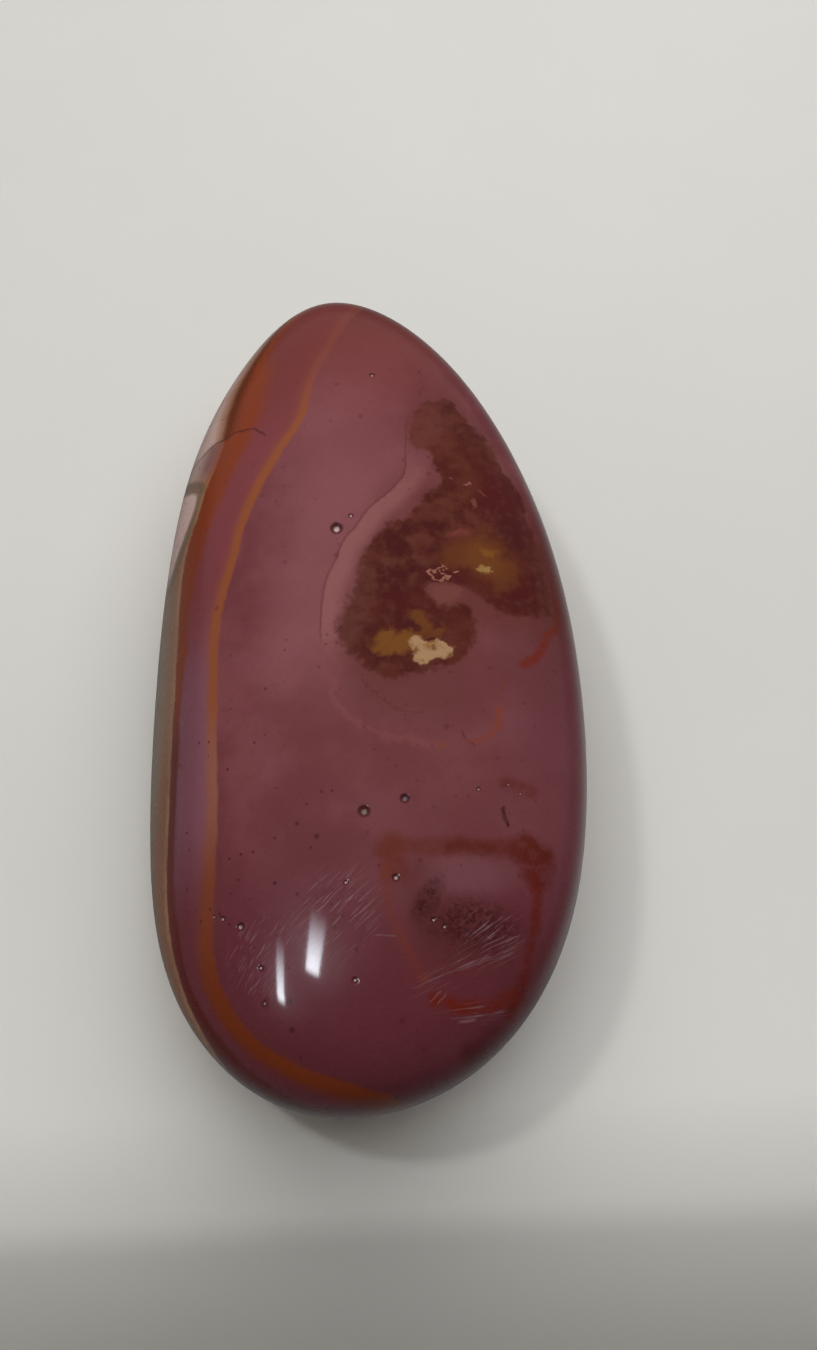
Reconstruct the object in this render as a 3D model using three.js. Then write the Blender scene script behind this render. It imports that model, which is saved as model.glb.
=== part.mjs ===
// A polished jasper palm stone: one flattened, egg-shaped pebble that rests on a small flat spot.
// Units are millimetres. +Z is up, +Y runs along the stone to its narrow end, +X is to the right of that.
// The origin is on the surface it rests on, under the middle of its bounding box.

import * as THREE from 'three';
import { mergeVertices } from 'three/addons/utils/BufferGeometryUtils.js';

// Driving dimensions
const CROWN_HEIGHT = 22.5;
const RIM_HEIGHT = 9.5;
const RIM_CLIMB = 0.08;
const REST_DEPTH = 0.35;

// Fullness of the vertical profile, across the stone and along it.
// A value of 2 is an ellipse, and a higher one has a flatter face and a rounder edge.
const CROWN_FULLNESS = { across: 2.6, along: 3.2 };
const UNDERSIDE_FULLNESS = { across: 2.2, along: 2.5 };

// The left flank was ground flatter than the rest: a leaning face with a soft shoulder
const FLANK_LEAN = THREE.MathUtils.degToRad(65);
const FLANK_FOOT = new THREE.Vector3(-21.6, 0, 9);
const FLANK_SOFTNESS = 3.5;

// Guide points of the outline seen from above, every 30 degrees anticlockwise from the right.
// The outline is a closed cubic B-spline, so it runs a little inside them.
const OUTLINE_GUIDES = [
  [22.8, -1.5], [19.4, 18.0], [10.8, 36.4], [-3.0, 46.7],
  [-13.5, 34.7], [-20.9, 18.8], [-23.3, 0.0], [-23.4, -25.5],
  [-13.8, -41.5], [-1.0, -45.7], [12.4, -40.6], [21.3, -26.8],
];

// Grid steps along each edge of the cube that the surface is mapped from
const STEPS = 28;

// A point of the outline at a turn of 0 to 1 around it, and every value wraps round
function outlinePoint(turn) {
  const count = OUTLINE_GUIDES.length;
  const place = THREE.MathUtils.euclideanModulo(turn, 1) * count;
  const first = Math.floor(place);
  const u = place - first;
  const weights = [
    (1 - u) ** 3,
    3 * u ** 3 - 6 * u ** 2 + 4,
    -3 * u ** 3 + 3 * u ** 2 + 3 * u + 1,
    u ** 3,
  ];
  const point = new THREE.Vector2();
  weights.forEach((weight, step) => {
    const guide = OUTLINE_GUIDES[(first + step - 1 + count) % count];
    point.x += guide[0] * weight / 6;
    point.y += guide[1] * weight / 6;
  });
  return point;
}

// The pebble before its flank is ground: a superellipse profile swept round the outline
function pebblePoint(direction) {
  const outline = outlinePoint(Math.atan2(direction.y, direction.x) / (2 * Math.PI));
  const level = Math.hypot(direction.x, direction.y);
  const lengthwise = level > 0 ? (direction.y / level) ** 2 : 0;
  const side = direction.z > 0 ? CROWN_FULLNESS : UNDERSIDE_FULLNESS;
  const fullness = THREE.MathUtils.lerp(side.across, side.along, lengthwise);
  const reach = (level ** fullness + Math.abs(direction.z) ** fullness) ** (-1 / fullness);
  const spread = reach * level;
  const lift = reach * direction.z;
  const height = lift > 0 ? CROWN_HEIGHT - RIM_HEIGHT : RIM_HEIGHT + REST_DEPTH;
  const x = outline.x * spread;
  const y = outline.y * spread;
  return new THREE.Vector3(x, y, RIM_HEIGHT + lift * height + RIM_CLIMB * x * spread ** 2);
}

// Presses whatever stands proud of the flank's plane back to it, with a rounded shoulder
function grindFlank(point) {
  const outward = new THREE.Vector3(-Math.sin(FLANK_LEAN), 0, Math.cos(FLANK_LEAN));
  const proud = outward.dot(point.clone().sub(FLANK_FOOT));
  const cut = (proud + Math.hypot(proud, FLANK_SOFTNESS)) / 2;
  return point.addScaledVector(outward, -cut);
}

// A cube's surface, spread evenly over a sphere and then shaped into the stone
function stoneGeometry() {
  const geometry = new THREE.BoxGeometry(2, 2, 2, STEPS, STEPS, STEPS);
  const position = geometry.getAttribute('position');
  const evenly = (value) => Math.tan(value * Math.PI / 4);
  const direction = new THREE.Vector3();
  for (let index = 0; index < position.count; index += 1) {
    direction.fromBufferAttribute(position, index);
    direction.set(evenly(direction.x), evenly(direction.y), evenly(direction.z)).normalize();
    const point = grindFlank(pebblePoint(direction));
    position.setXYZ(index, point.x, point.y, Math.max(point.z, 0));
  }
  geometry.deleteAttribute('normal');
  geometry.deleteAttribute('uv');
  const closed = mergeVertices(geometry, 1e-4);
  closed.computeBoundingBox();
  const middle = closed.boundingBox.getCenter(new THREE.Vector3());
  closed.translate(-middle.x, -middle.y, 0);
  closed.computeVertexNormals();
  return closed;
}

const jasper = new THREE.MeshStandardMaterial({ color: 0x7c494c, roughness: 0.14, metalness: 0 });
const stone = new THREE.Mesh(stoneGeometry(), jasper);
stone.name = 'stone';

const palmStone = new THREE.Group();
palmStone.name = 'jasper_palm_stone';
palmStone.add(stone);

export default palmStone;
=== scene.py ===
# %% [markdown]
# # A palm stone of polychrome jasper
# The object is a single pebble, tumbled and polished until it shines, that rests on a small flat spot.
# Its form is simple and its surface is not: bands of rust, ochre and mauve run down its left side, a brown
# inclusion with ochre and cream in it lies on its right, and the polish carries pits and fine scratches.
# So the shape is one formula, and most of this lesson is about painting stone with shader nodes.

# %% Load the measured frame
import math
from functools import partial, reduce

import bmesh
import bpy
import numpy as np
from mathutils import Matrix, Vector
from mathutils.bvhtree import BVHTree


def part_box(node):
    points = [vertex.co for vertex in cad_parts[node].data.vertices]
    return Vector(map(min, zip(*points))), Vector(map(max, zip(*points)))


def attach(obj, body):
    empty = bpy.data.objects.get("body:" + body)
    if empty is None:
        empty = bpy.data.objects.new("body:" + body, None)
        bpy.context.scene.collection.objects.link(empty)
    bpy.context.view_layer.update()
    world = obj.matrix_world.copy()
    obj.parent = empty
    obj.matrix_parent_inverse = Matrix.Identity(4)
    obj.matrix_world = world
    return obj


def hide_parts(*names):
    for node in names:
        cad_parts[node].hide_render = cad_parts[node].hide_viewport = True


MM = 0.001
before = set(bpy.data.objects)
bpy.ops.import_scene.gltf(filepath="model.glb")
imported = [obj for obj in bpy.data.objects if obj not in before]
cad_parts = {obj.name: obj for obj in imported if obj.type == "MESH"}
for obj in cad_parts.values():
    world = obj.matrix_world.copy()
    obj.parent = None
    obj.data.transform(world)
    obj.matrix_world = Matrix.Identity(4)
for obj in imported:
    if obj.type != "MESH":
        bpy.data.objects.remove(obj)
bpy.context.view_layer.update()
stone_low, stone_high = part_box("stone")
print("stone", [round((high - low) / MM, 2) for low, high in zip(stone_low, stone_high)], "mm")


# %% Put new objects into the scene
def linked(data):
    """A new object in the scene that holds the data and shares its name."""
    made = bpy.data.objects.new(data.name, data)
    bpy.context.scene.collection.objects.link(made)
    return made


def linked_mesh(name, corners, faces):
    """A new object in the scene with a mesh of these corners and faces."""
    mesh = bpy.data.meshes.new(name)
    mesh.from_pydata(corners, [], faces)
    return linked(mesh)


# %% [markdown]
# ## The camera
# The photograph looks down on the stone at about 66 degrees from a hand's breadth away, so the near end
# looks wider than it is. A pinhole camera with the same lens, height and aim gives the same foreshortening.

# %% Place the camera
SENSOR = 36.0
FOCAL_LENGTH = 34.67
CAMERA_PITCH = math.radians(66.0)
CAMERA_HEADING = math.radians(2.3)
CAMERA_DISTANCE = 131.3 * MM
CAMERA_AIM = Vector((4.8, -1.4, 11.0)) * MM

camera_data = bpy.data.cameras.new("camera")
camera_data.sensor_width = SENSOR
camera_data.lens = FOCAL_LENGTH
camera_data.clip_start = 5 * MM
camera = linked(camera_data)
bpy.context.scene.camera = camera
line_of_sight = Vector((
    math.sin(CAMERA_HEADING) * math.cos(CAMERA_PITCH),
    math.cos(CAMERA_HEADING) * math.cos(CAMERA_PITCH),
    -math.sin(CAMERA_PITCH),
))
camera.location = CAMERA_AIM - line_of_sight * CAMERA_DISTANCE
camera.rotation_euler = (math.pi / 2 - CAMERA_PITCH, 0, -CAMERA_HEADING)
print("camera at", [round(value / MM, 1) for value in camera.location], "mm")

# %% [markdown]
# ## The form of the stone
# A pebble like this could be sculpted, but it follows a rule: seen from above it is a smooth egg, and every
# upright slice through it is a superellipse, which is an ellipse with a flatter face and a rounder edge.
# One flank was ground flatter than the rest. A formula gives a far cleaner surface than a sculpt, and on a
# polished stone every ripple shows in the reflections. The same formula made the measured solid, and here it
# is run on a much finer grid.

# %% Name the dimensions of the form
CROWN_HEIGHT = 22.5
RIM_HEIGHT = 9.5
RIM_CLIMB = 0.08
REST_DEPTH = 0.35
CROWN_FULLNESS = (2.6, 3.2)
UNDERSIDE_FULLNESS = (2.2, 2.5)
FLANK_LEAN = math.radians(65)
FLANK_FOOT = np.array([-21.6, 0.0, 9.0])
FLANK_SOFTNESS = 3.5
OUTLINE_GUIDES = np.array([
    (22.8, -1.5), (19.4, 18.0), (10.8, 36.4), (-3.0, 46.7),
    (-13.5, 34.7), (-20.9, 18.8), (-23.3, 0.0), (-23.4, -25.5),
    (-13.8, -41.5), (-1.0, -45.7), (12.4, -40.6), (21.3, -26.8),
])
GRID_STEPS = (108, 212, 60)


# %% Trace the egg-shaped outline
def outline_points(turns):
    """Points of the outline, a closed cubic B-spline, at turns of 0 to 1 around it."""
    count = len(OUTLINE_GUIDES)
    place = np.mod(turns, 1) * count
    first = np.floor(place).astype(int)
    u = (place - first)[:, None]
    weights = (
        (1 - u) ** 3,
        3 * u ** 3 - 6 * u ** 2 + 4,
        -3 * u ** 3 + 3 * u ** 2 + 3 * u + 1,
        u ** 3,
    )
    guides = (OUTLINE_GUIDES[(first + step - 1) % count] for step in range(4))
    return sum(weight * guide for weight, guide in zip(weights, guides)) / 6


# %% Sweep the upright profile round the outline
def pebble(directions):
    """The unground pebble in millimetres, and how far up (1) or down (-1) its profile each point lies."""
    level = np.hypot(directions[:, 0], directions[:, 1])
    upward = directions[:, 2]
    lengthwise = (directions[:, 1] / np.maximum(level, 1e-9)) ** 2
    crown = CROWN_FULLNESS[0] + (CROWN_FULLNESS[1] - CROWN_FULLNESS[0]) * lengthwise
    underside = UNDERSIDE_FULLNESS[0] + (UNDERSIDE_FULLNESS[1] - UNDERSIDE_FULLNESS[0]) * lengthwise
    fullness = np.where(upward > 0, crown, underside)
    reach = (level ** fullness + np.abs(upward) ** fullness) ** (-1 / fullness)
    spread = reach * level
    lift = reach * upward
    outline = outline_points(np.arctan2(directions[:, 1], directions[:, 0]) / (2 * math.pi))
    across = outline * spread[:, None]
    height = np.where(lift > 0, CROWN_HEIGHT - RIM_HEIGHT, RIM_HEIGHT + REST_DEPTH)
    rise = RIM_HEIGHT + lift * height + RIM_CLIMB * across[:, 0] * spread ** 2
    return np.column_stack([across, rise]), lift


# %% Grind the flank and flatten the resting spot
def grind(places):
    """Presses whatever stands proud of the flank's plane back to it, and cuts the stone off level at 0."""
    outward = np.array([-math.sin(FLANK_LEAN), 0.0, math.cos(FLANK_LEAN)])
    proud = (places - FLANK_FOOT) @ outward
    cut = (proud + np.hypot(proud, FLANK_SOFTNESS)) / 2
    ground = places - cut[:, None] * outward
    ground[:, 2] = np.maximum(ground[:, 2], 0)
    return ground


# %% [markdown]
# A sphere made of rings would pinch the reflections at its poles, so the grid starts as the six faces of a
# box. Each face is spread evenly over a sphere, and shared edges are merged, which leaves no pole at all.

# %% Spread a box's grid evenly over all directions
def box_grid(steps):
    """Corners and quads of a box from -1 to 1 with steps[axis] divisions along each axis, facing outwards."""
    corners, quads, count = [], [], 0
    for axis in range(3):
        first, second = (axis + 1) % 3, (axis + 2) % 3
        u, v = np.meshgrid(
            np.linspace(-1, 1, steps[first] + 1),
            np.linspace(-1, 1, steps[second] + 1),
            indexing="ij",
        )
        index = np.arange(u.size).reshape(u.shape)
        face = np.stack([index[:-1, :-1], index[1:, :-1], index[1:, 1:], index[:-1, 1:]], axis=-1)
        face = face.reshape(-1, 4)
        for side in (-1, 1):
            sheet = np.empty((u.size, 3))
            sheet[:, axis] = side
            sheet[:, first] = u.ravel()
            sheet[:, second] = v.ravel()
            corners.append(sheet)
            quads.append((face if side > 0 else face[:, ::-1]) + count)
            count += u.size
    merged, place = np.unique(np.round(np.concatenate(corners), 9), axis=0, return_inverse=True)
    return merged, place.ravel()[np.concatenate(quads)]


# %% [markdown]
# The polish has eighteen small round pits. They are real hollows, so they are pressed into the mesh, and the
# grid is made finer round each of them first. That is done while it is still a box, because the formula then
# puts the new corners exactly on the stone, and the reflections stay smooth right up to each pit.

# %% List the pits and make the grid finer round them
PITS = [
    (-1.7, 9.3, 0.62), (-0.3, 10.6, 0.26), (0.2, -19.2, 0.55), (3.8, -18.2, 0.44),
    (2.75, -25.15, 0.34), (-10.8, -28.4, 0.36), (-9.05, -31.95, 0.24), (-8.8, -34.85, 0.24),
    (5.85, -28.8, 0.24), (6.75, -29.4, 0.22), (2.2, 28.0, 0.3), (-1.55, -25.4, 0.24),
    (-1.0, -33.5, 0.26), (-12.4, -27.55, 0.26), (-13.2, -27.25, 0.16), (10.4, -17.45, 0.2),
    (13.1, -16.95, 0.16), (14.1, -17.75, 0.14),
]
FINER_WITHIN = (1.0, 0.45, 0.12)
FAR_OFF = 99.0


def on_stone(corners):
    """Where a box's corners land on the stone, in millimetres, and how far up its profile they lie."""
    directions = np.tan(corners * math.pi / 4)
    directions /= np.linalg.norm(directions, axis=1)[:, None]
    places, lift = pebble(directions)
    return grind(places), lift


def pit_shares(places):
    """For each pit, every point's distance from its centre as a share of its radius. The pits are in the
    crown, so the underside counts as far off."""
    for x, y, radius in PITS:
        away = np.hypot(places[:, 0] - x, places[:, 1] - y)
        yield radius, np.where(places[:, 2] > CROWN_HEIGHT / 2, away, FAR_OFF) / radius


corners, quads = box_grid(GRID_STEPS)
box = bpy.data.meshes.new("box")
box.from_pydata(corners.tolist(), [], quads.tolist())
finer = bmesh.new()
finer.from_mesh(box)
for extra in FINER_WITHIN:
    places, lift = on_stone(np.array([corner.co for corner in finer.verts]))
    near = np.any([share < 1 + extra / radius for radius, share in pit_shares(places)], axis=0)
    edges = [edge for edge in finer.edges if near[edge.verts[0].index] and near[edge.verts[1].index]]
    bmesh.ops.subdivide_edges(finer, edges=edges, cuts=1, use_grid_fill=True)
    finer.verts.index_update()
    print("within", extra, "mm of a pit: split", len(edges), "edges")
corners = np.array([corner.co for corner in finer.verts])
faces = [[corner.index for corner in face.verts] for face in finer.faces]
finer.free()
bpy.data.meshes.remove(box)
places, lift = on_stone(corners)

# %% Fit the form to the measured box
own_low, own_high = places.min(axis=0), places.max(axis=0)
cad_low, cad_high = np.array(stone_low) / MM, np.array(stone_high) / MM
places = (places - own_low) * (cad_high - cad_low) / (own_high - own_low) + cad_low

# %% Press the pits in and build the mesh
PIT_DEPTH = 0.55
COMPARE_EVERY = 40

polished = places.copy()
for radius, share in pit_shares(polished):
    places[:, 2] -= PIT_DEPTH * radius * np.clip(1 - share ** 2, 0, 1)

stone = linked_mesh("jasper_pebble", (places * MM).tolist(), faces)
stone_mesh = stone.data
stone_mesh.shade_smooth()

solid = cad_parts["stone"]
tree = BVHTree.FromPolygons(
    [vertex.co for vertex in solid.data.vertices],
    [polygon.vertices for polygon in solid.data.polygons],
)
gaps = [tree.find_nearest(Vector(place * MM))[3] / MM for place in places[::COMPARE_EVERY]]
triangles = sum(len(face) - 2 for face in faces)
print("triangles", triangles, "furthest from the measured solid", round(max(gaps), 3), "mm")

# %% [markdown]
# ## Lines drawn on the stone
# The bands and the inclusion have shapes of their own, so their edges are drawn as a few points in
# millimetres seen from straight above. What the shader needs is not the line but each spot's distance from
# it: a distance changes smoothly, so it can be stored at the mesh's points and still give a crisp edge when
# the shader cuts it off at a value. Noise added before the cut then makes that edge ragged, as in rock.

# %% Draw smooth lines through given points
LINE_STEPS = 6


def drawn_line(points, closed=False):
    """A smooth line through the points, as short straight steps."""
    points = np.array(points, dtype=float)
    if closed:
        padded = np.vstack([points[-1], points, points[:2]])
    else:
        padded = np.vstack([2 * points[0] - points[1], points, 2 * points[-1] - points[-2]])
    u = np.linspace(0, 1, LINE_STEPS, endpoint=False)[:, None]
    steps = [
        (
            2 * here
            + (after - before) * u
            + (2 * before - 5 * here + 4 * after - beyond) * u ** 2
            + (3 * here - before - 3 * after + beyond) * u ** 3
        ) / 2
        for before, here, after, beyond in zip(padded, padded[1:], padded[2:], padded[3:])
    ]
    end = padded[1] if closed else padded[-2]
    return np.vstack(steps + [end[None]])


# %% Measure how far every point of the mesh is from a line
def distance_left_of(line, spots):
    """Distance of each spot from a line, in millimetres: positive on its left, negative on its right."""
    nearest = np.full(len(spots), np.inf)
    side = np.ones(len(spots))
    for start, step in zip(line, np.diff(line, axis=0)):
        from_start = spots - start
        reach = np.clip(from_start @ step / (step @ step), 0, 1)
        gap = from_start - reach[:, None] * step
        away = np.hypot(gap[:, 0], gap[:, 1])
        closer = away < nearest
        nearest = np.where(closer, away, nearest)
        side = np.where(closer, np.where(step[0] * gap[:, 1] >= step[1] * gap[:, 0], 1.0, -1.0), side)
    return nearest * side


def store(name, values):
    """Keeps one number per point of the mesh, where a shader can read it by name."""
    attribute = stone_mesh.attributes.new(name, "FLOAT", "POINT")
    attribute.data.foreach_set("value", np.asarray(values, dtype=np.float32))
    print("stored", name, "from", round(float(values.min()), 1), "to", round(float(values.max()), 1))


# %% [markdown]
# ## The bands
# The bands are layers that were laid down one on another and later cut by the surface. They stand nearly
# upright, so below the rim the same layers come back round the underside, shifted by how much they lean.
# One number says where in the stack a spot lies: 0 to 1 across the rust band, 1 to 2 across the mauve one,
# 2 to 3 across the orange one, and beyond those it goes on in millimetres.

# %% Draw the edges of the bands
LAYER_LEAN = 0.5
RUST_OUTER_EDGE = [
    (-3.5, 44.0), (-6.5, 39.5), (-8.6, 36.0), (-10.3, 32.5), (-11.8, 29.0), (-12.6, 25.5), (-13.0, 22.5),
    (-13.9, 19.5), (-15.0, 17.0), (-15.9, 14.0), (-16.9, 11.8), (-17.5, 9.0), (-17.8, 5.0), (-17.9, -2.0),
    (-18.1, -9.0), (-18.2, -16.0), (-18.3, -21.0), (-18.1, -25.5), (-17.3, -30.0), (-15.9, -34.0),
    (-13.8, -37.9), (-11.0, -41.0), (-7.0, -43.6), (-2.0, -45.5),
]
RUST_INNER_EDGE = [
    (-2.0, 43.5), (-5.3, 39.5), (-7.6, 36.5), (-8.8, 33.0), (-8.8, 29.0), (-9.2, 25.0), (-10.4, 22.0),
    (-11.4, 19.7), (-12.8, 16.0), (-14.4, 12.0), (-15.8, 8.0), (-16.4, 4.0), (-16.5, -1.0), (-17.0, -4.5),
    (-17.1, -9.0), (-17.2, -16.0), (-17.4, -21.5), (-17.1, -25.5), (-16.4, -29.8), (-15.0, -33.8),
    (-12.9, -37.0), (-10.0, -40.0), (-6.0, -42.6), (-1.0, -44.5),
]
ORANGE_OUTER_EDGE = [
    (1.0, 41.5), (-0.5, 38.0), (-1.7, 35.5), (-2.9, 32.5), (-4.2, 29.5), (-4.9, 26.5), (-5.4, 24.0),
    (-6.2, 22.0), (-7.6, 19.8), (-9.5, 16.3), (-11.0, 13.0), (-12.0, 9.5), (-12.8, 6.0), (-13.8, 2.5),
    (-14.2, -1.0), (-14.2, -6.0), (-14.1, -12.0), (-14.1, -19.0), (-14.5, -25.0), (-15.0, -29.5),
    (-14.6, -32.5), (-13.2, -35.5), (-11.2, -38.0), (-8.5, -40.0), (-5.0, -41.8), (0.0, -43.4),
]
ORANGE_INNER_EDGE = [
    (2.2, 41.0), (0.6, 37.5), (-0.8, 34.5), (-2.1, 31.5), (-3.4, 28.5), (-4.1, 25.5), (-4.5, 23.5),
    (-5.3, 21.7), (-6.5, 19.6), (-8.3, 16.3), (-9.8, 13.0), (-10.9, 9.5), (-11.7, 6.0), (-12.5, 3.0),
    (-13.0, 0.0), (-13.1, -6.0), (-13.0, -12.0), (-12.9, -19.0), (-13.1, -25.0), (-13.3, -29.5),
    (-12.9, -32.2), (-11.6, -35.0), (-9.8, -37.2), (-7.5, -39.0), (-4.0, -40.6), (1.0, -42.2),
]

# %% Store each spot's place in the stack of layers
below_rim = RIM_HEIGHT * np.clip(-lift, 0, 1)
in_layers = places[:, :2] - np.column_stack([LAYER_LEAN * below_rim, np.zeros(len(places))])
edges = [
    distance_left_of(drawn_line(edge), in_layers)
    for edge in (RUST_OUTER_EDGE, RUST_INNER_EDGE, ORANGE_OUTER_EDGE, ORANGE_INNER_EDGE)
]
layer = edges[0]
for index, (outer, inner) in enumerate(zip(edges, edges[1:])):
    share = np.clip(outer / np.maximum(outer - inner, 1e-6), 0, 1)
    layer = np.where(outer > 0, index + share, layer)
layer = np.where(edges[3] > 0, 3 + edges[3], layer)
store("layer", layer)

# %% [markdown]
# ## The inclusion and its neighbours
# A ragged brown inclusion lies right of the middle, with a pale hairline round its left side. A small pink
# eye sits on the left shoulder, where the layers fold round it, and there is a cream patch in the brown.

# %% Draw and store the outlines of the inclusion, the hairline, the cream patch and the eye
INCLUSION = [
    (8.8, 25.2), (7.2, 24.2), (6.1, 22.9), (5.7, 21.4), (5.7, 20.2), (6.2, 19.2), (7.2, 18.4), (7.9, 17.5),
    (8.1, 16.4), (8.5, 15.4), (8.5, 14.5), (7.7, 13.6), (6.9, 12.7), (5.9, 11.2), (4.9, 10.3), (3.7, 9.6),
    (2.5, 8.6), (1.4, 7.2), (0.7, 5.5), (0.0, 3.6), (-0.6, 2.3), (-1.0, 1.0), (-1.6, -0.6), (-1.8, -1.8),
    (-1.4, -3.2), (-0.5, -4.3), (0.6, -5.3), (2.2, -6.3), (4.4, -6.4), (6.6, -6.0), (8.3, -5.4), (9.6, -4.5),
    (10.4, -3.4), (10.9, -2.1), (11.0, -0.8), (10.6, 0.3), (9.9, 0.9), (8.9, 0.8), (7.8, 0.9), (6.9, 1.7),
    (6.6, 2.6), (7.2, 3.3), (8.4, 3.3), (9.7, 2.9), (10.8, 2.4), (12.1, 1.6), (13.2, 0.7), (14.5, 0.0),
    (15.8, -0.1), (17.2, -0.1), (18.3, 0.6), (18.9, 2.4), (18.5, 4.6), (18.0, 6.9), (17.6, 9.1), (17.4, 11.6),
    (16.7, 13.9), (15.6, 16.0), (14.6, 18.0), (13.6, 20.0), (12.4, 22.0), (11.2, 24.0), (10.2, 25.2),
]
HAIRLINE = [
    (5.9, 22.7), (5.5, 21.2), (5.35, 19.5), (5.25, 17.6), (5.15, 16.0), (4.8, 14.9), (4.2, 14.15),
    (3.2, 13.05), (2.2, 12.2), (1.4, 11.4), (0.7, 10.4), (0.1, 9.35), (-0.5, 8.7), (-1.1, 7.9),
    (-1.5, 6.9), (-1.8, 5.9), (-2.3, 4.9), (-2.75, 3.9), (-3.0, 2.9), (-3.2, 1.6), (-3.35, 0.0),
    (-3.4, -2.0), (-3.1, -3.8), (-2.2, -5.6), (-0.6, -7.2), (1.6, -8.3), (4.0, -9.6),
]
CREAM_PATCH = [
    (4.9, -2.6), (4.8, -3.4), (5.1, -4.2), (5.2, -5.0), (5.9, -5.4), (6.6, -5.1), (7.2, -4.7), (8.0, -4.9),
    (8.6, -4.6), (8.8, -4.0), (9.3, -3.7), (8.6, -3.5), (8.0, -3.2), (7.3, -2.8), (6.9, -3.2),
    (6.2, -3.0), (5.6, -2.4),
]
EYE_EDGE = [
    (-22.0, 22.6), (-19.6, 21.6), (-18.4, 20.6), (-17.3, 19.3), (-16.2, 18.2), (-15.6, 17.0),
    (-15.9, 15.4), (-16.6, 13.9), (-17.5, 12.4), (-18.4, 11.0), (-19.2, 9.0), (-19.6, 6.0),
    (-19.7, 0.0), (-19.8, -8.0),
]
spots = places[:, :2]
store("inclusion", distance_left_of(drawn_line(INCLUSION, closed=True), spots))
store("hairline", distance_left_of(drawn_line(HAIRLINE), spots))
store("cream", distance_left_of(drawn_line(CREAM_PATCH, closed=True), spots))
store("eye", distance_left_of(drawn_line(EYE_EDGE), spots))

# %% Store how far up the profile each spot lies, so that marks on the crown end at the rim
store("lift", lift)

# %% [markdown]
# ## Shader nodes in short words
# Shader trees get long, and most of their length is bookkeeping. A small class gives each node one short
# word that returns its output socket, so that a material reads as a recipe.

# %% Name a colour as the eye sees it
VEIL = 0.012
DARKEST = 0.003
LIGHT_ON_STONE = 0.78


def seen(red, green, blue):
    """The stone's own colour, from how it looks on a screen (0 to 255): less the veil of the polish and
    corrected for the light on it."""
    screen = np.array([red, green, blue]) / 255
    linear = np.where(screen < 0.04045, screen / 12.92, ((screen + 0.055) / 1.055) ** 2.4)
    own = np.maximum(linear - VEIL, DARKEST) / LIGHT_ON_STONE
    return (*own.tolist(), 1.0)


# %% Give every node a short word
class Recipe:
    """A node tree under construction. Each word adds a node and returns the socket with its result."""

    def __init__(self, tree):
        self.tree = tree

    def node(self, kind, inputs=None, **settings):
        """A node, with values or sockets fed to the inputs named or numbered here."""
        made = self.tree.nodes.new(kind)
        for name, value in settings.items():
            setattr(made, name, value)
        for name, value in (inputs or {}).items():
            self.feed(made.inputs[name], value)
        return made

    def feed(self, socket, value):
        if isinstance(value, bpy.types.NodeSocket):
            self.tree.links.new(value, socket)
        else:
            socket.default_value = value

    def placed(self, group, **values):
        """The outputs of a group. Its inputs are named here with underscores for spaces."""
        inputs = {name.replace("_", " ").capitalize(): value for name, value in values.items()}
        return self.node("ShaderNodeGroup", inputs, node_tree=group).outputs

    def stored(self, name):
        return self.node("ShaderNodeAttribute", attribute_name=name).outputs["Fac"]

    def axis(self, vector, name):
        return self.node("ShaderNodeSeparateXYZ", {0: vector}).outputs[name]

    def math(self, operation, first, second=0.0):
        return self.node("ShaderNodeMath", {0: first, 1: second}, operation=operation).outputs[0]

    def add(self, *values):
        return reduce(partial(self.math, "ADD"), values)

    def times(self, *values):
        return reduce(partial(self.math, "MULTIPLY"), values)

    def most(self, *values):
        return reduce(partial(self.math, "MAXIMUM"), values)

    def less(self, first, second):
        """The first value less the second."""
        return self.math("SUBTRACT", first, second)

    def length(self, x, y):
        return self.math("SQRT", self.add(self.times(x, x), self.times(y, y)))

    def rises(self, value, start, end):
        """0 up to start and 1 from end on. It falls instead where start is above end."""
        inputs = {"Value": value, "From Min": start, "From Max": end}
        made = self.node("ShaderNodeMapRange", inputs, interpolation_type="SMOOTHSTEP", clamp=False)
        return made.outputs["Result"]

    def band(self, value, low, high, soft):
        """1 between low and high, fading over soft at either side."""
        return self.times(
            self.rises(value, low - soft / 2, low + soft / 2),
            self.rises(value, high + soft / 2, high - soft / 2),
        )

    def vector(self, operation, first, second):
        return self.node("ShaderNodeVectorMath", {0: first, 1: second}, operation=operation).outputs[0]

    def scaled(self, vector, factor):
        return self.node("ShaderNodeVectorMath", {0: vector, "Scale": factor}, operation="SCALE").outputs[0]

    def framed(self, vector, rotation, size):
        """The vector as seen from a frame that is turned and sized like this."""
        inputs = {"Vector": vector, "Rotation": rotation, "Scale": size}
        return self.node("ShaderNodeMapping", inputs, vector_type="TEXTURE").outputs[0]

    def noise(self, vector, scale, detail, roughness):
        """The outputs of a noise node, for its Fac or its Color."""
        inputs = {"Vector": vector, "Scale": scale, "Detail": detail, "Roughness": roughness}
        return self.node("ShaderNodeTexNoise", inputs).outputs

    def mix(self, share, below, above):
        return self.node("ShaderNodeMix", {0: share, 6: below, 7: above}, data_type="RGBA").outputs[2]


# %% [markdown]
# ## Marks that repeat
# Blotches, strokes and pits turn up all over the stone, so each is a node group with named inputs, built
# once and placed many times. A group gives out a mask, and the material decides what to do with it.

# %% Start a shader node group with named inputs and outputs
VECTORS = ("Place", "Squeeze", "Rotation", "Stretch", "Object", "Solid")


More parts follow.
